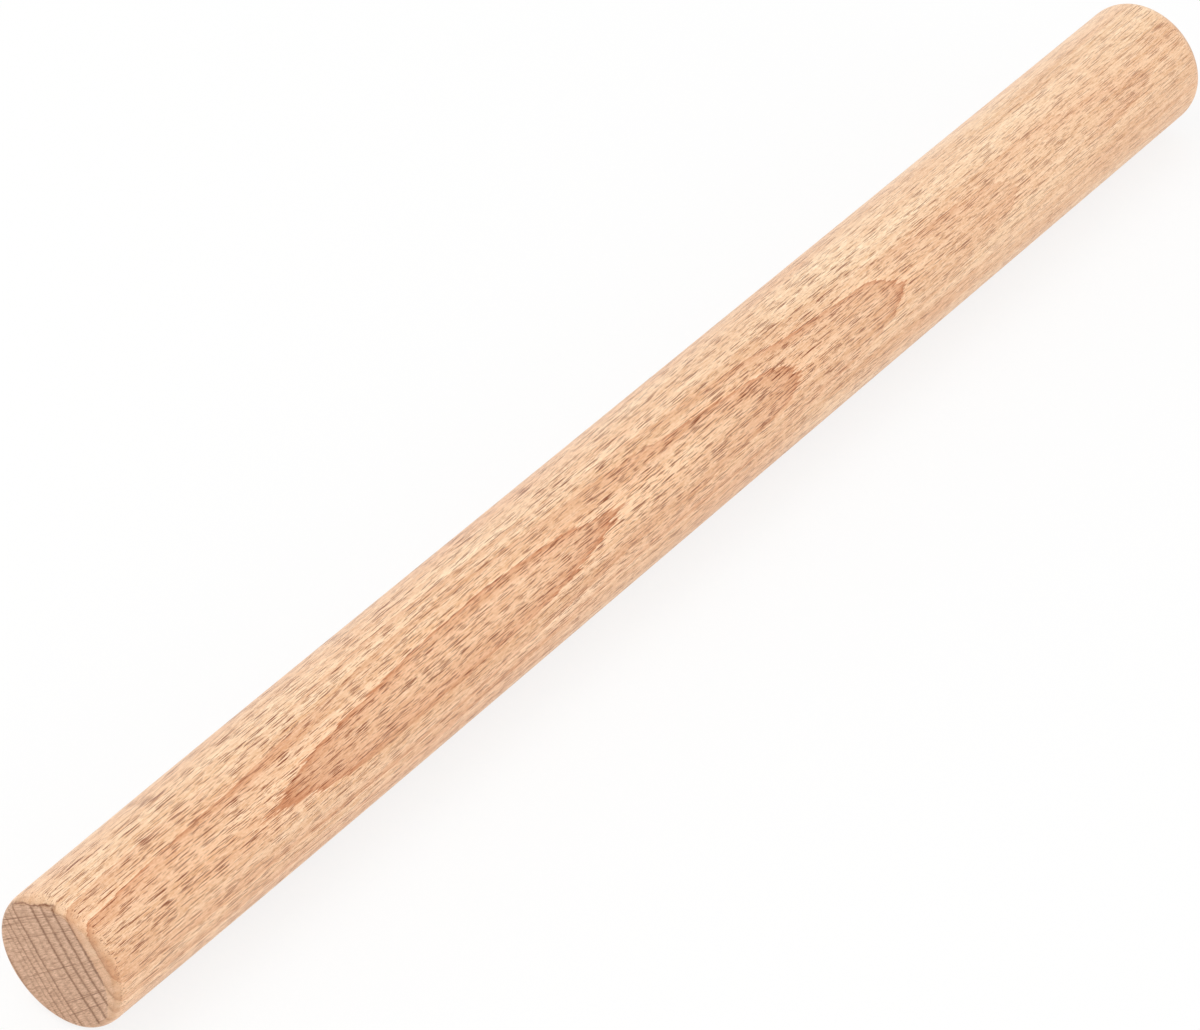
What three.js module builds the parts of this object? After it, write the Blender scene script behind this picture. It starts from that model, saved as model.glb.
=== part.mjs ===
// A dowel rolling pin: one straight piece of turned beech with no handles and nothing that comes apart.
// Units are millimetres, +Z is up, and the pin's axis is X.
// The origin is on the axis, halfway between the two end faces.

import * as THREE from "three";

// Overall sizes
const pinLength = 500;
const barrelDiameter = 40;

// The rim of each end face is eased by sanding into a quarter of an oval:
// easeDepth is what it takes off the radius, easeLength is how far along the pin it runs.
const easeDepth = 2;
const easeLength = 4;

// The -X end is sanded a little thinner than the barrel, and swells to the full radius in a long soft curve.
const thinningDepth = 0.5;
const thinningLength = 120;

// How finely the round shape is cut into flats. A multiple of four puts one flat squarely
// under the axis and one squarely over it, so the pin lies still as a real one on a worktop does.
const barrelSides = 40;
const easeSteps = 6;
const thinningSteps = 8;

// Beech, sanded and unfinished
const beechColour = 0xe2b98f;
const beechRoughness = 0.62;
const beechMetalness = 0;

const quarterTurn = Math.PI / 2;

// The barrel's flats, not its corners, are barrelDiameter apart, so the pin measures its full size across them.
const flatHalfAngle = Math.PI / barrelSides;
const cornersPerFlat = 1 / Math.cos(flatHalfAngle);

// Returns a quarter of an oval that turns from an end face to the side of the pin, or from the side to a face.
// rimRadius is the pin's radius where the easing meets its side, and centreAt is how far along the pin that is.
function easedRim(rimRadius, centreAt, startAngle) {
  const oval = new THREE.EllipseCurve(
    rimRadius - easeDepth,
    centreAt,
    easeDepth,
    easeLength,
    startAngle,
    startAngle + quarterTurn,
  );
  return oval.getPoints(easeSteps);
}

// Returns the half outline of the pin from the centre of one end face to the centre of the other.
// Each point's x is a distance from the axis, and its y a place along the pin.
function pinProfile() {
  const barrelRadius = barrelDiameter / 2;
  const thinRadius = barrelRadius - thinningDepth;
  const faceAt = pinLength / 2;
  const rimAt = faceAt - easeLength;

  const thinning = new THREE.QuadraticBezierCurve(
    new THREE.Vector2(thinRadius, -rimAt),
    new THREE.Vector2(barrelRadius, -rimAt + thinningLength / 2),
    new THREE.Vector2(barrelRadius, -rimAt + thinningLength),
  );

  return [
    new THREE.Vector2(0, -faceAt),
    ...easedRim(thinRadius, -rimAt, -quarterTurn),
    ...thinning.getPoints(thinningSteps).slice(1),
    ...easedRim(barrelRadius, rimAt, 0),
    new THREE.Vector2(0, faceAt),
  ];
}

// Turns the outline about the axis, lays the axis along X and puts a flat squarely underneath.
function makeDowel() {
  const fullTurn = 4 * quarterTurn;
  const turned = new THREE.LatheGeometry(pinProfile(), barrelSides, flatHalfAngle, fullTurn);
  turned.rotateZ(-quarterTurn);
  turned.scale(1, cornersPerFlat, cornersPerFlat);

  const beech = new THREE.MeshStandardMaterial({
    color: beechColour,
    roughness: beechRoughness,
    metalness: beechMetalness,
  });
  const dowel = new THREE.Mesh(turned, beech);
  dowel.name = "dowel";
  return dowel;
}

const rollingPin = new THREE.Group();
rollingPin.name = "rolling_pin";
rollingPin.add(makeDowel());

export default rollingPin;
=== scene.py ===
"""A dowel rolling pin: one straight piece of turned beech, lying on a pale worktop in soft studio light.

Places are in metres in the pin's own frame: X runs along the axis, from the end that is sanded a
little thinner to the full-size end, and Z is up. The wood's own sizes are in millimetres, as a joiner
measures them.
"""

import logging
import math
from collections.abc import Callable
from dataclasses import dataclass
from dataclasses import field
from enum import Enum

import bmesh
import bpy
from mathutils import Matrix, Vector


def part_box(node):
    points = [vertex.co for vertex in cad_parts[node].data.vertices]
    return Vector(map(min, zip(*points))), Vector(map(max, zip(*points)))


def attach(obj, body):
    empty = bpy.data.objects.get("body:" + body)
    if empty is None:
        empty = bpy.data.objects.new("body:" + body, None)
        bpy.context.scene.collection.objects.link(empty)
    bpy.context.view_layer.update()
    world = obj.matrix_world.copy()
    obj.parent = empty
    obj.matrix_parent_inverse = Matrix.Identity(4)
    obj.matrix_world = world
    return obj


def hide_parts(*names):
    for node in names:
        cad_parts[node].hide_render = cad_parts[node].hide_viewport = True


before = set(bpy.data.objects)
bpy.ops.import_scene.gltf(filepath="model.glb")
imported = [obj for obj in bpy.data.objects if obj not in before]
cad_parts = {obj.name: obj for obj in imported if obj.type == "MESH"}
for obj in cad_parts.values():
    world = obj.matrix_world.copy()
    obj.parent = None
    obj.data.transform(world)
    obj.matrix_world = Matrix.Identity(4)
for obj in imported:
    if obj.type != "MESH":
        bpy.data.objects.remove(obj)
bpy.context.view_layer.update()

MM = 0.001
QUARTER_TURN = math.pi / 2

# What a noise texture gives on average.
NOISE_MIDDLE = 0.5

# The places of a Mix node's colour sockets, whose names its number sockets share.
COLOUR_A = 6
COLOUR_B = 7
COLOUR_RESULT = 2

Tree = bpy.types.NodeTree
Socket = bpy.types.NodeSocket

log = logging.getLogger("rolling_pin")


class PinEnd(Enum):
    """The pin's two ends, by the way along X that each one faces."""

    THIN = -1
    FULL = 1


def linear(hex_colour: str) -> tuple[float, float, float, float]:
    """Turns a colour as it is seen on a screen into the linear one that a shader takes.

    Args:
        hex_colour: six hex digits, red first.

    Returns:
        Linear red, green and blue, and a full alpha.
    """
    shares = [int(hex_colour[place:place + 2], 16) / 255 for place in (0, 2, 4)]
    toe, slope, offset, power = 0.04045, 12.92, 0.055, 2.4
    return (*(s / slope if s <= toe else ((s + offset) / (1 + offset)) ** power for s in shares), 1.0)


def add_node(tree: Tree, kind: str, inputs: dict | None = None, output: int | str = 0,
             **settings: object) -> Socket | None:
    """Adds a shader node with its settings, and fills or links its inputs.

    Args:
        tree: the material's or the world's node tree.
        kind: the node's type name without its ShaderNode in front.
        inputs: for each input, by name or place, a value or the output that feeds it.
        output: which of the node's outputs to give back, by name or place.
        **settings: the node's own properties, such as its operation.

    Returns:
        That output, or None for a node that has none.
    """
    node = tree.nodes.new("ShaderNode" + kind)
    for name, value in settings.items():
        setattr(node, name, value)
    for name, value in (inputs or {}).items():
        if isinstance(value, bpy.types.NodeSocket):
            tree.links.new(value, node.inputs[name])
        else:
            node.inputs[name].default_value = value
    return node.outputs[output] if node.outputs else None


def deselect_all() -> None:
    """Leaves nothing selected, so that the next operator acts on its own piece alone."""
    bpy.ops.object.select_all(action="DESELECT")


@dataclass(frozen=True)
class Profile:
    """How something changes with a distance or an angle, as a line through points."""

    points: tuple[tuple[float, float], ...]
    straight: bool = False

    def at(self, distance: float) -> float:
        """Reads the line straight between its two nearest points.

        Args:
            distance: where to read it.

        Returns:
            The value there.
        """
        for (before, low), (after, high) in zip(self.points, self.points[1:]):
            if distance <= after:
                return low + (high - low) * (distance - before) / (after - before)
        return self.points[-1][1]

    def draw(self, tree: Tree, distance: Socket) -> Socket:
        """Draws the line in a material.

        Args:
            tree: the material's node tree.
            distance: the distance at each place.

        Returns:
            The value at each place.
        """
        first, last = self.points[0][0], self.points[-1][0]
        values = [value for _, value in self.points]
        low, high = min(values), max(values)
        share = add_node(tree, "MapRange", {"Value": distance, "From Min": first, "From Max": last})
        drawn = add_node(tree, "FloatCurve", {"Value": share})
        line = drawn.node.mapping.curves[0]
        shares = [((x - first) / (last - first), (value - low) / (high - low)) for x, value in self.points]
        line.points[0].location = shares[0]
        line.points[1].location = shares[-1]
        for point in shares[1:-1]:
            line.points.new(*point)
        for point in line.points:
            point.handle_type = "VECTOR" if self.straight else "AUTO"
        drawn.node.mapping.update()
        return add_node(tree, "MapRange", {"Value": drawn, "To Min": low, "To Max": high})


@dataclass(frozen=True)
class Mottle:
    """A soft unevenness, by the size of its spots along the grain, across it and towards the pith."""

    spot: tuple[float, float, float]
    depth: float
    detail: float = 2.0

    def draw(self, tree: Tree, place: Socket) -> Socket:
        """Draws the unevenness in a material.

        Args:
            tree: the material's node tree.
            place: the place in millimetres.

        Returns:
            A value about 0, mostly within a quarter of the depth.
        """
        scaled = add_node(tree, "VectorMath", {0: place, 1: self.spot}, "Vector", operation="DIVIDE")
        noise = add_node(tree, "TexNoise", {"Vector": scaled, "Scale": 1.0, "Detail": self.detail})
        centred = add_node(tree, "Math", {0: noise, 1: NOISE_MIDDLE}, operation="SUBTRACT")
        return add_node(tree, "Math", {0: centred, 1: self.depth}, operation="MULTIPLY")


@dataclass(frozen=True)
class RayKind:
    """One size of the wood's rays, the thin upright plates that run from the pith to the bark.

    A ray shows as a short dark dash where the surface is cut across it, as a patch where it is cut along
    it, and as a fine line on end grain. Its sizes are those of the cell that it lies in, in millimetres.
    """

    along_grain: float
    across: float
    towards_pith: float
    share_kept: float
    least_size_share: float
    most_size_share: float
    depth_of_colour: float
    core_share: float = 0.5

    def draw(self, tree: Tree, trunk: Socket) -> Socket:
        """Scatters the rays through the wood.

        Args:
            tree: the material's node tree.
            trunk: millimetres along the grain, round the pith and out from it.

        Returns:
            How much of a ray is at each point.
        """
        cell = (self.along_grain, self.across, self.towards_pith)
        scaled = add_node(tree, "VectorMath", {0: trunk, 1: cell}, "Vector", operation="DIVIDE")
        distance = add_node(tree, "TexVoronoi", {"Vector": scaled, "Scale": 1.0}, "Distance")
        chance = add_node(tree, "SeparateColor", {"Color": distance.node.outputs["Color"]}).node.outputs
        size = add_node(tree, "MapRange", {
            "Value": chance["Green"], "To Min": self.least_size_share, "To Max": self.most_size_share})
        core = add_node(tree, "Math", {0: size, 1: self.core_share}, operation="MULTIPLY")
        spot = add_node(tree, "MapRange", {
            "Value": distance, "From Min": size, "From Max": core, "To Max": self.depth_of_colour})
        kept = add_node(tree, "Math", {0: chance["Red"], 1: self.share_kept}, operation="LESS_THAN")
        return add_node(tree, "Math", {0: spot, 1: kept}, operation="MULTIPLY")


@dataclass(frozen=True)
class GrowthRings:
    """How the growth rings of the tree lie in the pin.

    The pith is far outside the pin, on the side that faces up and towards the photographer, so the rings
    graze the surface there and show as long flames. Depths are in millimetres from the pin's crown, its
    side nearest the pith, and away from the pith.
    """

    pith_distance: float = 170.0
    pith_angle: float = math.radians(51.0)
    crown: float = 20.0

    # Along the pin: how far the rings sink away from the pith, how they lean to one side, and how much
    # wider than usual they are.
    sink: Profile = Profile((
        (-250, 1.0), (-217, 0.45), (-185, 0.0), (-150, -1.1), (-117, -1.6), (-84, -1.3), (-55, -0.5),
        (-40, -0.05), (-32, 0.2), (-14, 0.5), (16, 1.35), (34, 2.0), (44, 2.8), (52, 3.3), (84, 4.5),
        (93.5, 5.7), (101, 6.1), (145, 7.8), (154, 8.6), (186, 9.9), (224, 11.6), (250, 12.3)))
    lean: Profile = Profile((
        (-250, 0.06), (-165, 0.01), (-100, -0.09), (-50, -0.115), (-33, -0.115), (-5, -0.03), (90, 0.01),
        (150, -0.02), (250, -0.08)))
    widening: Profile = Profile((
        (-250, 1.3), (-200, 1.38), (-150, 1.33), (-100, 1.1), (-84, 1.05), (-30, 1.0), (250, 1.0)))

    # The depth at which each year ends, then how strongly it ends on the barrel and on end grain.
    year_ends: tuple[tuple[float, float, float], ...] = (
        (-3.0, 1.0, 0.5), (0.0, 1.0, 0.8), (2.8, 0.95, 0.8), (5.7, 0.9, 1.0), (8.6, 0.35, 1.0),
        (11.6, 0.3, 0.85), (14.5, 0.2, 1.0), (17.2, 0.2, 0.25), (20.0, 0.25, 0.9), (21.5, 0.15, 0.5),
        (23.6, 0.25, 0.75), (25.1, 0.15, 0.45), (26.5, 0.2, 0.35), (29.4, 0.3, 0.8), (32.6, 0.35, 0.7),
        (35.4, 0.45, 0.9), (38.5, 0.4, 0.8), (41.3, 0.5, 0.9), (44.4, 0.35, 0.7), (47.2, 0.4, 0.9),
        (50.0, 0.35, 0.8), (53.0, 0.35, 0.8))
    ragged: Mottle = Mottle((14.0, 0.6, 0.6), 0.9)

    def trunk(self, tree: Tree, plank: Socket, wander: Socket) -> Socket:
        """Finds each point's place in the tree that the pin was cut from.

        Args:
            tree: the material's node tree.
            plank: the place in millimetres, turned so that Z points to the pith.
            wander: how far the grain wanders there, in millimetres.

        Returns:
            The place as millimetres along the grain, round the pith and out from it.
        """
        axes = add_node(tree, "SeparateXYZ", {0: plank}).node.outputs
        below_pith = add_node(tree, "Math", {0: self.pith_distance, 1: axes["Z"]}, operation="SUBTRACT")
        from_pith = add_node(tree, "CombineXYZ", {"Y": axes["Y"], "Z": below_pith})
        reach = add_node(tree, "VectorMath", {0: from_pith}, "Value", operation="LENGTH")
        outwards = add_node(tree, "Math", {0: reach, 1: self.pith_distance}, operation="SUBTRACT")
        angle = add_node(tree, "Math", {0: axes["Y"], 1: below_pith}, operation="ARCTAN2")
        around = add_node(tree, "Math", {0: angle, 1: self.pith_distance, 2: wander},
                          operation="MULTIPLY_ADD")
        return add_node(tree, "CombineXYZ", {"X": axes["X"], "Y": around, "Z": outwards})

    def depth(self, tree: Tree, plank: Socket, trunk: Socket, wander: Socket) -> Socket:
        """Works out how deep each point lies among the rings.

        Args:
            tree: the material's node tree.
            plank: the place in the plank, in millimetres.
            trunk: the place in the tree, in millimetres.
            wander: how far the grain wanders there, in millimetres.

        Returns:
            The depth in millimetres of rings of the usual width.
        """
        axes = add_node(tree, "SeparateXYZ", {0: plank}).node.outputs
        outwards = add_node(tree, "SeparateXYZ", {0: trunk}, "Z")
        depth = add_node(tree, "Math", {0: outwards, 1: self.crown}, operation="ADD")
        depth = add_node(tree, "Math", {0: depth, 1: self.sink.draw(tree, axes["X"])}, operation="ADD")
        leaning = self.lean.draw(tree, axes["X"])
        depth = add_node(tree, "Math", {0: leaning, 1: axes["Y"], 2: depth}, operation="MULTIPLY_ADD")
        for unevenness in (wander, self.ragged.draw(tree, plank)):
            depth = add_node(tree, "Math", {0: depth, 1: unevenness}, operation="ADD")
        wider = self.widening.draw(tree, axes["X"])
        return add_node(tree, "Math", {0: depth, 1: wider}, operation="DIVIDE")

    def part_of_year(self, tree: Tree, depth: Socket) -> Socket:
        """Tells when in its year each point grew.

        Args:
            tree: the material's node tree.
            depth: how deep it lies among the rings.

        Returns:
            0 where a year starts, rising to 1 where it ends.
        """
        ends = tuple((end, number) for number, (end, _, _) in enumerate(self.year_ends))
        numbered = Profile(ends, straight=True)
        return add_node(tree, "Math", {0: numbered.draw(tree, depth)}, operation="FRACT")

    def strength(self, tree: Tree, depth: Socket, on_end: bool) -> Socket:
        """Tells how strongly the nearest year ends.

        Args:
            tree: the material's node tree.
            depth: how deep the point lies among the rings.
            on_end: whether that is wanted for end grain, or else for the barrel.

        Returns:
            A share of the full contrast.
        """
        strengths = tuple((end, on_end_grain if on_end else on_barrel)
                          for end, on_barrel, on_end_grain in self.year_ends)
        return Profile(strengths, straight=True).draw(tree, depth)


@dataclass(frozen=True)
class YearColours:
    """The colours that the wood of one year goes through: parts of the year, and the colour at each."""

    stops: tuple[tuple[float, str], ...]

    def draw(self, tree: Tree, part_of_year: Socket) -> Socket:
        """Draws the colours in a material.

        Args:
            tree: the material's node tree.
            part_of_year: from 0 to 1.

        Returns:
            The colour.
        """
        colour = add_node(tree, "ValToRGB", {"Fac": part_of_year}, "Color")
        elements = colour.node.color_ramp.elements
        for element, (position, hex_colour) in zip(list(elements), (self.stops[0], self.stops[-1])):
            element.position = position
            element.color = linear(hex_colour)
        for position, hex_colour in self.stops[1:-1]:
            elements.new(position).color = linear(hex_colour)
        return colour


@dataclass(frozen=True)
class SandedBeech:
    """Steamed beech, turned and sanded, with no oil or varnish.

    It gives the eye a matt, warm peach-beige barrel, with long flames where the growth rings graze the
    surface, brown dashes where rays end in it, and greyer end grain that shows the rings and rays as a net.
    """

    name: str = "beech_turned_and_sanded"
    slot: str = "beech"
    rings: GrowthRings = GrowthRings()

    # The first wood of a year is palest and the last of it redder and darker, up to a sharp edge.
    barrel_wood: str = "ebbf98"
    barrel_year: YearColours = YearColours((
        (0.0, "f5c79f"), (0.12, "f2c49c"), (0.3, "edc099"), (0.5, "ebbd96"), (0.7, "e6b38b"),
        (0.85, "e1ab83"), (0.93, "dba178"), (0.97, "d29268"), (1.0, "c68257")))
    end_wood: str = "c89f81"
    end_year: YearColours = YearColours((
        (0.0, "987051"), (0.08, "a87f61"), (0.16, "c9a083"), (0.5, "c89f81"), (0.78, "c09677"),
        (0.88, "9e7354"), (0.95, "875c3e"), (1.0, "8a6041")))
    heart_red: str = "dc9e73"
    ray_brown: str = "7c3400"
    end_ray_brown: str = "80522f"
    # Torn fibres along the edge of the end face, darker too as a painted shadow of a small step.
    torn_and_step_shadow_brown: str = "75411f"
    rim_tint: str = "dcd2ca"

    # Where the wood is darker it is browner too: how much of a change in shade goes to red, green and blue.
    shade_tint: tuple[float, float, float] = (0.76, 1.35, 1.95)
    end_shade_tint: tuple[float, float, float] = (0.82, 1.0, 1.2)

    # Rays, from the largest to the smallest. The largest only show on one side, towards the thinner end.
    # On the barrel they are drawn only a little way towards the pith, so that they stay dashes all round.
    large_rays: RayKind = RayKind(13.0, 0.8, 0.9, 0.45, 0.2, 0.34, 1.0, 0.7)
    medium_rays: RayKind = RayKind(11.0, 0.36, 0.38, 0.6, 0.18, 0.37, 1.0, 0.95)
    small_rays: RayKind = RayKind(6.5, 0.27, 0.28, 0.66, 0.18, 0.4, 1.0, 0.9)
    least_rays: RayKind = RayKind(3.6, 0.24, 0.24, 0.65, 0.2, 0.42, 0.75, 0.7)
    end_rays: RayKind = RayKind(8.0, 0.6, 60.0, 0.9, 0.12, 0.4, 0.7, 0.5)

    # Where the largest rays come in, in millimetres to the upper side and along the pin: from none of
    # them to all.
    large_rays_aside: tuple[float, float] = (13.0, 16.0)
    large_rays_along: tuple[float, float] = (60.0, -80.0)

    # How much shows of all the rays, of the finer ones among them and of the rings, by the distance in
    # millimetres towards the pin's upper side as the photographer sees it. One more line says how much
    # shows of the rays by the place along the pin.
    rays_by_side: Profile = Profile(((-20, 0.8), (-14, 0.8), (-8, 0.85), (-1, 1.0), (20, 1.0)))
    fine_rays_by_side: Profile = Profile(((-20, 1.0), (4, 1.0), (12, 0.9), (20, 0.75)))
    rays_along: Profile = Profile(((-250, 1.0), (30, 1.0), (140, 0.75), (250, 0.6)))
    rings_by_side: Profile = Profile((
        (-20, 0.8), (-13, 0.75), (-7, 0.6), (-4, 1.0), (8, 1.0), (14, 0.5), (20, 0.5)))

    # How much redder than usual the wood is on each side and along the pin. Below 0 it is paler. Across
    # the pin that paleness is partly the wood's own tone and partly painted light: a painted sheen on the
    # upper side, from 11 to 19 millimetres, and painted light along the lower edge that lifts its shade.
    redder_and_painted_light_by_side: Profile = Profile((
        (-20, -0.14), (-17, -0.12), (-14, 0.0), (-8, 0.0), (-3, -0.04), (1, -0.1), (5, 0.0), (8, 0.0),
        (11, -0.12), (14, -0.22), (17, -0.32), (19, -0.22), (20, -0.02)))
    redder_along: Profile = Profile(((-250, 0.0), (20, 0.0), (70, -0.1), (120, -0.1), (250, -0.1)))

    # Unevenness: the wander of the rings and of the fibres and the raggedness of the flat's edge in
    # millimetres, and the others as shares of the colour or of what they fade. The fuzz of cut vessels
    # is drawn about four times coarser than it is, to show.
    wander: Mottle = Mottle((60.0, 11.0, 11.0), 1.0)
    fibre_wander: Mottle = Mottle((70.0, 40.0, 40.0), 2.0, 0.0)
    ring_fading: Mottle = Mottle((35.0, 5.0, 5.0), 1.4)
    fuzz: Mottle = Mottle((4.0, 0.27, 0.27), 0.54, 1.0)
    speckle: Mottle = Mottle((0.7, 0.4, 0.4), 0.4, 1.0)
    bands: Mottle = Mottle((120.0, 1.8, 1.8), 0.46, 1.5)
    patches: Mottle = Mottle((60.0, 8.0, 8.0), 1.4)
    end_streaks: Mottle = Mottle((6.0, 0.3, 2.0), 1.5)
    ragged_flat: Mottle = Mottle((2.0, 1.4, 1.4), 1.2)
    rubbed_patches: Mottle = Mottle((3.0, 3.5, 3.5), 3.0)

    # The belt has smoothed the rims: how much of the rays and the fuzz is left on the barrel's wood, by how
    # squarely the surface faces along the pin.
    unrubbed_by_facing: Profile = Profile(((0.0, 1.0), (0.15, 1.0), (0.45, 0.3), (1.0, 0.3)), straight=True)

    # How strongly the eased rim is browned, and how badly the edge of the end face is torn and darkened
    # with a painted shadow of a small step, by the angle in degrees from the top towards -Y.
    rim_browning: Profile = Profile((
        (-180, 0.8), (-75, 0.8), (-60, 0.9), (-36, 0.8), (-20, 0.35), (26, 0.3), (38, 0.7), (78, 0.65),
        (95, 0.7), (180, 0.8)))
    torn_and_step_shadow_edge: Profile = Profile((
        (-180, 0.0), (-64, 0.0), (-52, 0.8), (-30, 0.8), (-24, 1.0), (-4, 1.0), (2, 0.4), (14, 0.4),
        (18, 0.0), (180, 0.0)), straight=True)

    # By how squarely the surface faces along the pin: where the browning of the rim comes in and where
    # it ends, with the share of it that its patches leave on average, and where the wood takes on the
    # look of end grain, up to a share of that look outside the flat.
    browning_in: tuple[float, float] = (0.25, 0.4)
    browning_out: tuple[float, float] = (0.98, 0.88)
    browned_share: float = 0.85
    end_grain_in: tuple[float, float] = (0.6, 1.0)
    end_grain_share: float = 0.5

    # By the distance in millimetres outside the flat: where the end grain starts, and where the torn
    # edge with its painted step shadow does.
    flat_in: tuple[float, float] = (0.2, -0.2)
    torn_and_step_shadow_in: tuple[float, float] = (0.6, 0.2)

    roughness: float = 0.62
    specular_level: float = 0.3
    sheen: float = 0.25

    # How far the rays sink in and the fuzz stands up, in millimetres, and how much of that shows.
    ray_relief: float = -0.03
    fuzz_relief: float = 0.06
    relief_strength: float = 0.35

    def build(self) -> bpy.types.Material:
        """Makes the material.

        Returns:
            The beech, which reads Object coordinates, the surface's direction and the piece's own attribute
            PAST_FLAT.
        """
        material = bpy.data.materials.new(self.name)
        material.use_nodes = True
        tree = material.node_tree
        tree.nodes.clear()

        place = add_node(tree, "TexCoord", output="Object")
        plank = add_node(tree, "Mapping", {
            "Vector": place, "Rotation": (-self.rings.pith_angle, 0, 0), "Scale": (1 / MM, 1 / MM, 1 / MM)})
        wander = self.wander.draw(tree, plank)
        trunk = self.rings.trunk(tree, plank, self.fibre_wander.draw(tree, plank))
        depth = self.rings.depth(tree, plank, trunk, wander)
        part_of_year = self.rings.part_of_year(tree, depth)
        rays = self.rays(tree, plank, trunk)
        fuzz = add_node(tree, "Math", {0: self.fuzz.draw(tree, trunk), 1: self.speckle.draw(tree, plank)},
                        operation="ADD")

        direction = add_node(tree, "TexCoord", output="Normal")
        along = add_node(tree, "SeparateXYZ", {0: direction}, "X")
        facing_end = add_node(tree, "Math", {0: along}, operation="ABSOLUTE")
        end = self.end_colour(tree, trunk, depth, part_of_year, fuzz)
        unrubbed = self.unrubbed_by_facing.draw(tree, facing_end)
        fuzz = add_node(tree, "Math", {0: fuzz, 1: unrubbed}, operation="MULTIPLY")
        rays = add_node(tree, "Math", {0: rays, 1: unrubbed}, operation="MULTIPLY")
        barrel = self.barrel_colour(tree, plank, depth, part_of_year, rays, fuzz)
        wood = self.dressed_end(tree, place, plank, facing_end, barrel, end)

        height = add_node(tree, "Math", {0: rays, 1: self.ray_relief}, operation="MULTIPLY")
        height = add_node(tree, "Math", {0: fuzz, 1: self.fuzz_relief, 2: height}, operation="MULTIPLY_ADD")
        bump = add_node(tree, "Bump", {"Strength": self.relief_strength, "Distance": MM, "Height": height})
        shader = add_node(tree, "BsdfPrincipled", {
            "Base Color": wood, "Roughness": self.roughness, "Normal": bump,
            "Specular IOR Level": self.specular_level, "Sheen Weight": self.sheen})
        add_node(tree, "OutputMaterial", {"Surface": shader})
        return material

    def rays(self, tree: Tree, plank: Socket, trunk: Socket) -> Socket:
        """Puts the barrel's rays together.

        Args:
            tree: the material's node tree.
            plank: the place in the plank, in millimetres.
            trunk: the place in the tree, in millimetres.

        Returns:
            How much of a ray is at each point.
        """
        axes = add_node(tree, "SeparateXYZ", {0: plank}).node.outputs
        none, full = self.large_rays_aside
        aside = add_node(tree, "MapRange", {"Value": axes["Y"], "From Min": none, "From Max": full})
        none, full = self.large_rays_along
        near_end = add_node(tree, "MapRange", {"Value": axes["X"], "From Min": none, "From Max": full})
        shown = add_node(tree, "Math", {0: aside, 1: near_end}, operation="MULTIPLY")
        large = self.large_rays.draw(tree, trunk)
        rays = add_node(tree, "Math", {0: large, 1: shown}, operation="MULTIPLY")
        medium = self.medium_rays.draw(tree, trunk)
        rays = add_node(tree, "Math", {0: medium, 1: rays}, operation="MAXIMUM")
        fine_shown = self.fine_rays_by_side.draw(tree, axes["Y"])
        for kind in (self.small_rays, self.least_rays):
            fine = add_node(tree, "Math", {0: kind.draw(tree, trunk), 1: fine_shown}, operation="MULTIPLY")
            rays = add_node(tree, "Math", {0: fine, 1: rays}, operation="MAXIMUM")
        return rays

    def barrel_colour(self, tree: Tree, plank: Socket, depth: Socket, part_of_year: Socket, rays: Socket,
                      fuzz: Socket) -> Socket:
        """Colours the wood as it shows along the grain.

        Args:
            tree: the material's node tree.
            plank: the place in the plank, in millimetres.
            depth: how deep the point lies among the rings.
            part_of_year: when in its year it grew.
            rays: how much of a ray is there.
            fuzz: how much paler or darker the fuzz is there.

        Returns:
            The colour.
        """
        axes = add_node(tree, "SeparateXYZ", {0: plank}).node.outputs
        ringed = add_node(tree, "Math", {
            0: self.rings.strength(tree, depth, on_end=False), 1: self.rings_by_side.draw(tree, axes["Y"])},
            operation="MULTIPLY")
        ringed = add_node(tree, "Math", {
            0: ringed, 1: self.ring_fading.draw(tree, plank), 2: ringed}, operation="MULTIPLY_ADD")
        wood = add_node(tree, "Mix", {
            0: ringed, COLOUR_A: linear(self.barrel_wood),
            COLOUR_B: self.barrel_year.draw(tree, part_of_year)}, COLOUR_RESULT, data_type="RGBA")
        # Redder towards the heartwood red, and paler below 0; the paleness on the upper side and the lower
        # edge is painted sheen and painted light.
        redder_and_painted_light = self.patches.draw(tree, plank)
        for profile, distance in ((self.redder_and_painted_light_by_side, axes["Y"]), (self.redder_along, axes["X"])):
            redder_and_painted_light = add_node(tree, "Math", {0: redder_and_painted_light, 1: profile.draw(tree, distance)}, operation="ADD")
        wood = add_node(tree, "Mix", {0: redder_and_painted_light, COLOUR_A: wood, COLOUR_B: linear(self.heart_red)},
                        COLOUR_RESULT, data_type="RGBA", clamp_factor=False)
        shade = add_node(tree, "Math", {0: self.bands.draw(tree, plank), 1: fuzz}, operation="ADD")
        shade = add_node(tree, "VectorMath", {0: shade, 1: self.shade_tint, 2: (1, 1, 1)}, "Vector",
                         operation="MULTIPLY_ADD")
        wood = add_node(tree, "VectorMath", {0: wood, 1: shade}, "Vector", operation="MULTIPLY")
        for profile, distance in ((self.rays_by_side, axes["Y"]), (self.rays_along, axes["X"])):
            rays = add_node(tree, "Math", {0: rays, 1: profile.draw(tree, distance)}, operation="MULTIPLY")
        return add_node(tree, "Mix", {0: rays, COLOUR_A: wood, COLOUR_B: linear(self.ray_brown)},
                        COLOUR_RESULT, data_type="RGBA")

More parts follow.
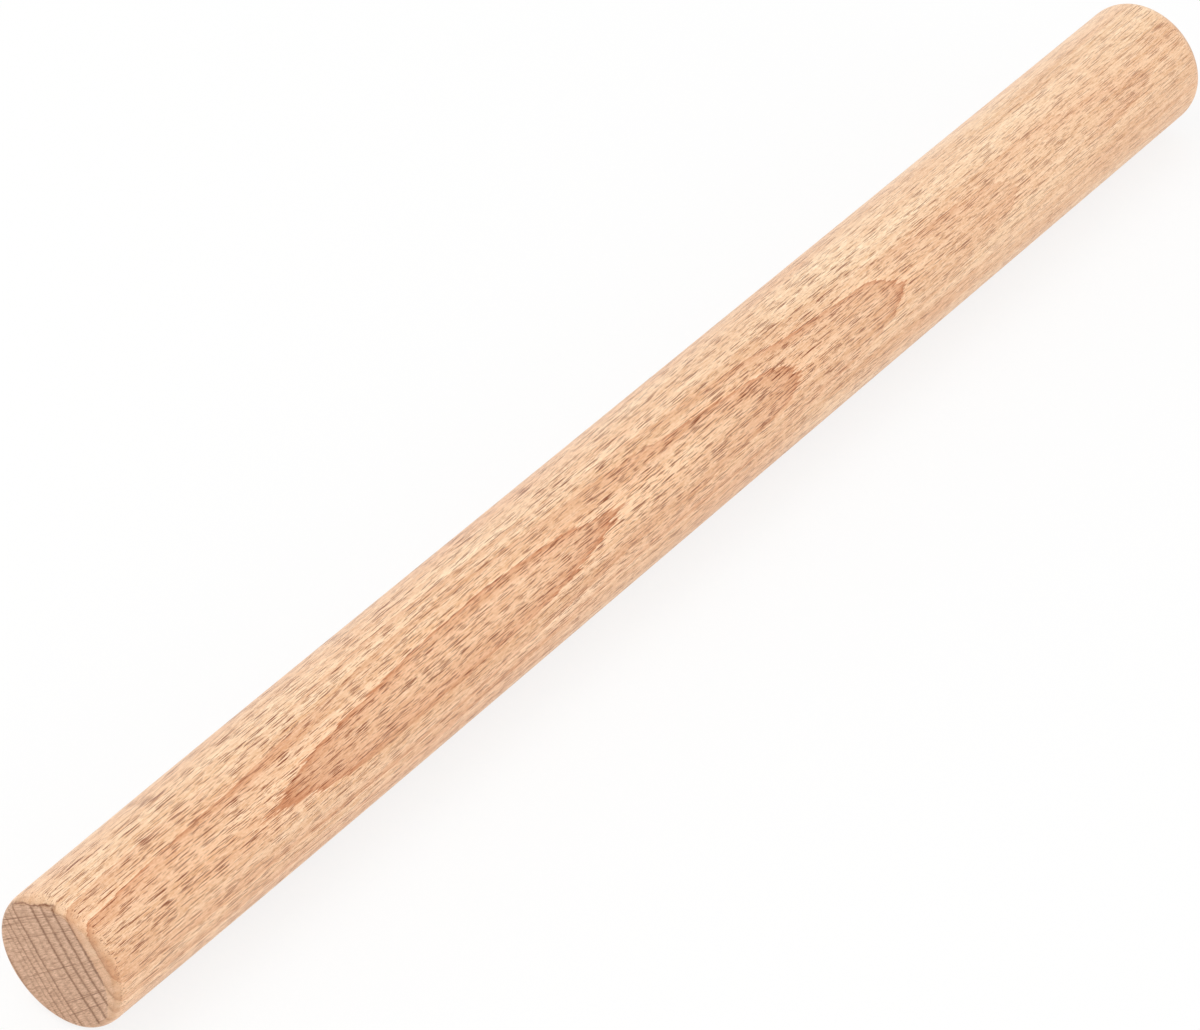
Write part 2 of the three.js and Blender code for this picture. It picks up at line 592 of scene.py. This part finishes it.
    def end_colour(self, tree: Tree, trunk: Socket, depth: Socket, part_of_year: Socket,
                   fuzz: Socket) -> Socket:
        """Colours the wood as it shows across the grain, where it is greyer and the rings are lines.

        Args:
            tree: the material's node tree.
            trunk: the place in the tree, in millimetres.
            depth: how deep the point lies among the rings.
            part_of_year: when in its year it grew.
            fuzz: how much paler or darker the fuzz is there.

        Returns:
            The colour.
        """
        wood = add_node(tree, "Mix", {
            0: self.rings.strength(tree, depth, on_end=True), COLOUR_A: linear(self.end_wood),
            COLOUR_B: self.end_year.draw(tree, part_of_year)}, COLOUR_RESULT, data_type="RGBA")
        wood = add_node(tree, "Mix", {
            0: self.end_rays.draw(tree, trunk), COLOUR_A: wood, COLOUR_B: linear(self.end_ray_brown)},
            COLOUR_RESULT, data_type="RGBA")
        shade = add_node(tree, "Math", {0: fuzz, 1: self.end_streaks.draw(tree, trunk)}, operation="ADD")
        shade = add_node(tree, "VectorMath", {0: shade, 1: self.end_shade_tint, 2: (1, 1, 1)}, "Vector",
                         operation="MULTIPLY_ADD")
        return add_node(tree, "VectorMath", {0: wood, 1: shade}, "Vector", operation="MULTIPLY")

    def dressed_end(self, tree: Tree, place: Socket, plank: Socket, facing_end: Socket, barrel: Socket,
                    end: Socket) -> Socket:
        """Joins the two looks of the wood at the pin's ends, where the belt has browned and torn the rims,
        and a painted shadow of a small step darkens the torn edge.

        Args:
            tree: the material's node tree.
            place: the place in the pin's own frame.
            plank: the place in the plank, in millimetres.
            facing_end: how squarely the surface faces along the pin, from 0 to 1.
            barrel: the wood's colour along the grain.
            end: its colour across the grain.

        Returns:
            The colour everywhere.
        """
        past_flat = add_node(tree, "Attribute", output="Fac", attribute_name=TurnedPin.PAST_FLAT)
        ragged = self.ragged_flat.draw(tree, plank)
        past_flat = add_node(tree, "Math", {0: past_flat, 1: ragged}, operation="ADD")

        axes = add_node(tree, "SeparateXYZ", {0: place}).node.outputs
        beside = add_node(tree, "Math", {0: axes["Y"], 1: -1.0}, operation="MULTIPLY")
        angle = add_node(tree, "Math", {0: beside, 1: axes["Z"]}, operation="ARCTAN2")
        angle = add_node(tree, "Math", {0: angle}, operation="DEGREES")

        none, full = self.browning_in
        rising = add_node(tree, "MapRange", {"Value": facing_end, "From Min": none, "From Max": full})
        none, full = self.browning_out
        falling = add_node(tree, "MapRange", {"Value": facing_end, "From Min": none, "From Max": full})
        rubbed = add_node(tree, "Math", {0: rising, 1: falling}, operation="MULTIPLY")
        patch = self.rubbed_patches.draw(tree, plank)
        patch = add_node(tree, "Math", {0: patch, 1: self.browned_share}, operation="ADD",
                         use_clamp=True)
        rubbed = add_node(tree, "Math", {0: rubbed, 1: patch}, operation="MULTIPLY")
        browning = self.rim_browning.draw(tree, angle)
        rubbed = add_node(tree, "Math", {0: rubbed, 1: browning}, operation="MULTIPLY")

        none, full = self.end_grain_in
        scuffed = add_node(tree, "MapRange", {
            "Value": facing_end, "From Min": none, "From Max": full, "To Max": self.end_grain_share})
        none, full = self.flat_in
        flat = add_node(tree, "MapRange", {"Value": past_flat, "From Min": none, "From Max": full})
        is_end = add_node(tree, "Math", {0: scuffed, 1: flat}, operation="MAXIMUM")
        # The torn edge: torn fibres, darkened too as a painted shadow of a small step.
        none, full = self.torn_and_step_shadow_in
        torn_and_step_shadow = add_node(tree, "MapRange", {"Value": past_flat, "From Min": none, "From Max": full})
        torn_and_step_shadow = add_node(tree, "Math", {0: torn_and_step_shadow, 1: self.torn_and_step_shadow_edge.draw(tree, angle)}, operation="MULTIPLY")
        torn_and_step_shadow = add_node(tree, "Math", {0: torn_and_step_shadow, 1: flat}, operation="SUBTRACT", use_clamp=True)

        wood = add_node(tree, "Mix", {0: rubbed, COLOUR_A: barrel, COLOUR_B: linear(self.rim_tint)},
                        COLOUR_RESULT, data_type="RGBA", blend_type="MULTIPLY")
        for share, colour in ((is_end, end), (torn_and_step_shadow, linear(self.torn_and_step_shadow_brown))):
            wood = add_node(tree, "Mix", {0: share, COLOUR_A: wood, COLOUR_B: colour}, COLOUR_RESULT,
                            data_type="RGBA")
        return wood


@dataclass
class TurnedPin:
    """The pin: a round barrel, sanded thinner at one end, with flat end faces and eased rims."""

    PAST_FLAT = "past_flat"

    name: str = "turned_pin"
    node: str = "dowel"
    body: str = "root"
    sides: int = 240
    ease_depth: float = 2 * MM
    ease_length: float = 4 * MM
    ease_steps: int = 10
    thinning_depth: float = 0.5 * MM
    thinning_length: float = 120 * MM
    ring_pitch: float = 8 * MM
    face_ring_pitch: float = 0.5 * MM
    face_rings: int = 10
    smooth_below: float = math.radians(30)

    # How far from a ring of points it is still caught, as a share of the step to the next one.
    catch_share: float = 0.25

    finish: SandedBeech = field(default_factory=SandedBeech)

    # The thinner end was dressed by hand. Its flat reaches this far from the axis, by the angle in degrees
    # from the top towards -Y, and past it a shallow facet falls away by its slope.
    thin_flat: Profile = Profile((
        (-180, 17.9), (-120, 17.7), (-60, 18.5), (-46, 18.4), (-34, 17.9), (-24, 17.3), (-16, 17.5),
        (-10, 18.1), (-3, 18.4), (1, 18.5), (3, 17.6), (9, 17.8), (14, 18.1), (17, 17.6), (20, 16.8),
        (30, 15.4), (47, 14.5), (63, 14.4), (80, 15.3), (107, 16.7), (120, 17.8), (180, 17.9)))
    full_flat: Profile = Profile(((-180, 17.9), (180, 17.9)))
    facet_slope: float = 0.13

    def __post_init__(self) -> None:
        """Takes the length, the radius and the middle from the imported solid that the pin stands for."""
        low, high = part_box(self.node)
        self.length = high.x - low.x
        self.radius = (high.z - low.z) / 2
        self.middle = (low + high) / 2
        self.rim_at = self.length / 2 - self.ease_length

    def build(self) -> bpy.types.Object:
        """Turns the pin, dresses it and puts it in the solid's place.

        Returns:
            The finished piece.
        """
        pin = self.barrel()
        bpy.ops.object.mode_set(mode="EDIT")
        self.cut_rings()
        self.thin_end(pin)
        for end in PinEnd:
            self.ease_rim(pin, end)
            self.ring_face()
        bpy.ops.object.mode_set(mode="OBJECT")
        self.mark_flats(pin)
        self.sand_facet(pin)
        bpy.ops.object.shade_smooth_by_angle(angle=self.smooth_below)
        pin.data.materials.append(self.finish.build())
        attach(pin, self.body)
        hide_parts(self.node)
        return pin

    def barrel(self) -> bpy.types.Object:
        """Adds the barrel between its two rims, with its place in its mesh.

        Returns:
            The barrel, selected and active.
        """
        deselect_all()
        bpy.ops.mesh.primitive_cylinder_add(
            vertices=self.sides, radius=self.radius, depth=2 * self.rim_at, end_fill_type="NGON",
            calc_uvs=False, location=self.middle, rotation=(0, QUARTER_TURN, 0))
        pin = bpy.context.object
        pin.name = self.name
        bpy.ops.object.transform_apply(location=True, rotation=True, scale=True)
        return pin

    def cut_rings(self) -> None:
        """Cuts the barrel across at even steps, so that its outline can swell gently."""
        steps = round(2 * self.rim_at / self.ring_pitch)
        for step in range(1, steps):
            bpy.ops.mesh.select_all(action="SELECT")
            place = self.middle + Vector((-self.rim_at + 2 * self.rim_at * step / steps, 0, 0))
            bpy.ops.mesh.bisect(plane_co=place, plane_no=(1, 0, 0))

    def select(self, pin: bpy.types.Object, wanted: Callable[[Vector], bool]) -> None:
        """Selects the pin's points by their place, with the edges and faces between them.

        Args:
            pin: the piece, in edit mode.
            wanted: says of a place from the pin's middle whether a point there is selected.
        """
        bpy.ops.mesh.select_all(action="DESELECT")
        bpy.ops.mesh.select_mode(type="VERT")
        mesh = bmesh.from_edit_mesh(pin.data)
        for point in mesh.verts:
            point.select_set(wanted(point.co - self.middle))
        mesh.select_flush(True)
        bmesh.update_edit_mesh(pin.data)

    def rim_radius(self, along: float) -> float:
        """Gives the barrel's radius at a place along the pin, less what the thinner end has lost.

        Args:
            along: how far the place is from the pin's middle, towards its full-size end.

        Returns:
            The radius.
        """
        share = max(0.0, 1 - (along + self.rim_at) / self.thinning_length)
        return self.radius - self.thinning_depth * share ** 2

    def thin_end(self, pin: bpy.types.Object) -> None:
        """Shrinks the rings near the thinner end, each to its own radius.

        Args:
            pin: the piece, in edit mode.
        """
        near = self.ring_pitch * self.catch_share
        steps = round(2 * self.rim_at / self.ring_pitch)
        for step in range(steps):
            along = -self.rim_at + 2 * self.rim_at * step / steps
            share = self.rim_radius(along) / self.radius
            if share < 1:
                self.select(pin, lambda place: abs(place.x - along) < near)
                bpy.ops.transform.resize(value=(1, share, share), center_override=self.middle)

    def ease_rim(self, pin: bpy.types.Object, end: PinEnd) -> None:
        """Draws an end face out step by step round a quarter of an oval.

        Args:
            pin: the piece, in edit mode.
            end: which end.
        """
        side = end.value
        rim = self.rim_radius(side * self.rim_at)
        near = self.ease_length * self.catch_share
        self.select(pin, lambda place: side * place.x > self.rim_at - near)
        drawn_out, radius = 0.0, rim
        for step in range(1, self.ease_steps + 1):
            turn = QUARTER_TURN * step / self.ease_steps
            reach = self.ease_length * math.sin(turn)
            eased = rim - self.ease_depth * (1 - math.cos(turn))
            outwards = (side * (reach - drawn_out), 0, 0)
            bpy.ops.mesh.extrude_region_move(TRANSFORM_OT_translate={"value": outwards})
            bpy.ops.transform.resize(value=(1, eased / radius, eased / radius), center_override=self.middle)
            drawn_out, radius = reach, eased

    def ring_face(self) -> None:
        """Insets the selected end face in even rings, and closes it on its middle."""
        for _ in range(self.face_rings):
            bpy.ops.mesh.inset(thickness=self.face_ring_pitch)
        bpy.ops.mesh.poke()

    def past_flat(self, place: Vector) -> float:
        """Measures how far outside the flat of its own end face a place is.

        Args:
            place: the place, from the pin's middle.

        Returns:
            The distance in millimetres, below 0 inside the flat.
        """
        angle = math.degrees(math.atan2(-place.y, place.z))
        flat = self.thin_flat if place.x < 0 else self.full_flat
        return math.hypot(place.y, place.z) / MM - flat.at(angle)

    def mark_flats(self, pin: bpy.types.Object) -> None:
        """Writes on each point how far outside the flat of its end face it is, for the finish to read.

        Args:
            pin: the piece, in object mode.
        """
        mark = pin.data.attributes.new(self.PAST_FLAT, "FLOAT", "POINT")
        distances = [self.past_flat(point.co - self.middle) for point in pin.data.vertices]
        mark.data.foreach_set("value", distances)

    def sand_facet(self, pin: bpy.types.Object) -> None:
        """Lowers the thinner end past its flat, as the belt did.

        Args:
            pin: the piece, in object mode.
        """
        deepest = self.facet_slope * self.ease_length
        facet = pin.vertex_groups.new(name="facet")
        flat_edge = self.rim_radius(-self.rim_at) - self.ease_depth
        for point in pin.data.vertices:
            place = point.co - self.middle
            to_rim = (-self.rim_at - place.x) / self.ease_length
            if to_rim > 0:
                over = max(0.0, math.hypot(place.y, place.z) - flat_edge)
                fall = self.facet_slope * max(0.0, self.past_flat(place) * MM - over) * to_rim
                facet.add([point.index], fall / deepest, "REPLACE")
        lowered = pin.modifiers.new("facet", "DISPLACE")
        lowered.direction = "X"
        lowered.mid_level = 0.0
        lowered.strength = deepest
        lowered.vertex_group = facet.name
        bpy.ops.object.modifier_apply(modifier=lowered.name)
        pin.vertex_groups.clear()


@dataclass
class Worktop:
    """A plain pale surface that the pin lies on, wide enough to fill every view."""

    name: str = "worktop"
    width: float = 12.0
    colour: str = "f4f4f3"
    roughness: float = 0.8
    glow_colour: str = "ffffff"
    glow_share: float = 0.82

    def build(self) -> bpy.types.Object:
        """Lays the worktop under the pin.

        Returns:
            The worktop.
        """
        deselect_all()
        bpy.ops.mesh.primitive_plane_add(size=self.width, location=(0, 0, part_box("dowel")[0].z))
        worktop = bpy.context.object
        worktop.name = self.name
        bpy.ops.object.transform_apply(location=True, rotation=True, scale=True)
        worktop.data.materials.append(self.material())
        return worktop

    def material(self) -> bpy.types.Material:
        """Makes the pale matt finish, which shows to the camera nearly white and keeps a soft shadow.

        Returns:
            The material.
        """
        material = bpy.data.materials.new("worktop_pale_matt")
        material.use_nodes = True
        tree = material.node_tree
        tree.nodes.clear()
        surface = add_node(tree, "BsdfPrincipled", {
            "Base Color": linear(self.colour), "Roughness": self.roughness})
        glow = add_node(tree, "Emission", {"Color": linear(self.glow_colour), "Strength": 1.0})
        share = add_node(tree, "Math", {0: seen_directly(tree), 1: self.glow_share}, operation="MULTIPLY")
        shader = add_node(tree, "MixShader", {0: share, 1: surface, 2: glow})
        add_node(tree, "OutputMaterial", {"Surface": shader})
        return material


def seen_directly(tree: Tree) -> Socket:
    """Tells whether the camera sees a thing itself or through gloss or glass, and not by its soft light.

    Args:
        tree: the material's or the world's node tree.

    Returns:
        1 for those looks, and 0 for the light that falls on other things.
    """
    path = add_node(tree, "LightPath").node.outputs
    seen = add_node(tree, "Math", {0: path["Is Camera Ray"], 1: path["Is Glossy Ray"]}, operation="MAXIMUM")
    return add_node(tree, "Math", {0: seen, 1: path["Is Transmission Ray"]}, operation="MAXIMUM")


@dataclass
class SoftBox:
    """One large soft lamp, given by where it stands and what it adds."""

    name: str
    place: tuple[float, float, float]
    width: float
    power: float

    def build(self) -> bpy.types.Object:
        """Hangs the lamp and turns it to the pin.

        Returns:
            The lamp.
        """
        deselect_all()
        bpy.ops.object.light_add(type="AREA", location=self.place)
        lamp = bpy.context.object
        lamp.name = self.name
        lamp.rotation_euler = (-Vector(self.place)).to_track_quat("-Z", "Y").to_euler()
        lamp.data.size = self.width
        lamp.data.energy = self.power
        return lamp


@dataclass
class Studio:
    """The white room round the pin, its lamps, and the camera at the photograph's viewing angle."""

    fill_colour: str = "ffffff"
    fill_strength: float = 0.82
    seen_strength: float = 1.0
    lamps: tuple[SoftBox, ...] = (
        SoftBox("key_softbox", (-1.2, 0.6, 2.2), 1.6, 19.0),
        SoftBox("low_softbox", (0.3, -2.2, 0.5), 1.6, 10.0),
        SoftBox("back_softbox", (1.6, 2.0, 0.6), 1.4, 6.0),
    )

    # The camera's place, how far below level it looks and which way it faces, and its lens.
    camera_place: tuple[float, float, float] = (-945.71 * MM, -683.45 * MM, 903.28 * MM)
    camera_below_level: float = math.radians(38.287)
    camera_heading: float = math.radians(-53.348)
    lens: float = 161.41
    sensor_width: float = 36.0
    nearest_seen: float = 10 * MM
    furthest_seen: float = 100.0

    def build(self) -> None:
        """Lights the room and sets up the camera."""
        self.build_world()
        for lamp in self.lamps:
            lamp.build()
        self.build_camera()
        bpy.context.scene.view_settings.view_transform = "Standard"

    def build_world(self) -> None:
        """Fills the room with even light, and shows it to the camera as white."""
        world = bpy.data.worlds.new("white_room")
        world.use_nodes = True
        tree = world.node_tree
        tree.nodes.clear()
        strength = add_node(tree, "MapRange", {
            "Value": seen_directly(tree), "To Min": self.fill_strength, "To Max": self.seen_strength})
        room = add_node(tree, "Background", {"Color": linear(self.fill_colour), "Strength": strength})
        add_node(tree, "OutputWorld", {"Surface": room})
        bpy.context.scene.world = world

    def build_camera(self) -> None:
        """Stands the camera where the photograph was taken from."""
        deselect_all()
        tilt = QUARTER_TURN - self.camera_below_level
        bpy.ops.object.camera_add(location=self.camera_place, rotation=(tilt, 0, self.camera_heading))
        camera = bpy.context.object
        camera.name = "camera"
        camera.data.lens = self.lens
        camera.data.sensor_width = self.sensor_width
        camera.data.clip_start = self.nearest_seen
        camera.data.clip_end = self.furthest_seen
        camera.data.dof.use_dof = False
        bpy.context.scene.camera = camera


def main() -> None:
    """Builds the studio, the worktop and the pin, and reports each."""
    logging.basicConfig(level=logging.INFO, format="%(name)s: %(message)s")
    Studio().build()
    log.info("studio: white room, soft lamps and camera")
    worktop = Worktop().build()
    log.info("%s: pale and matt", worktop.name)
    pin = TurnedPin().build()
    log.info("%s: %d faces of turned beech", pin.name, len(pin.data.polygons))


if __name__ == "__main__":
    main()
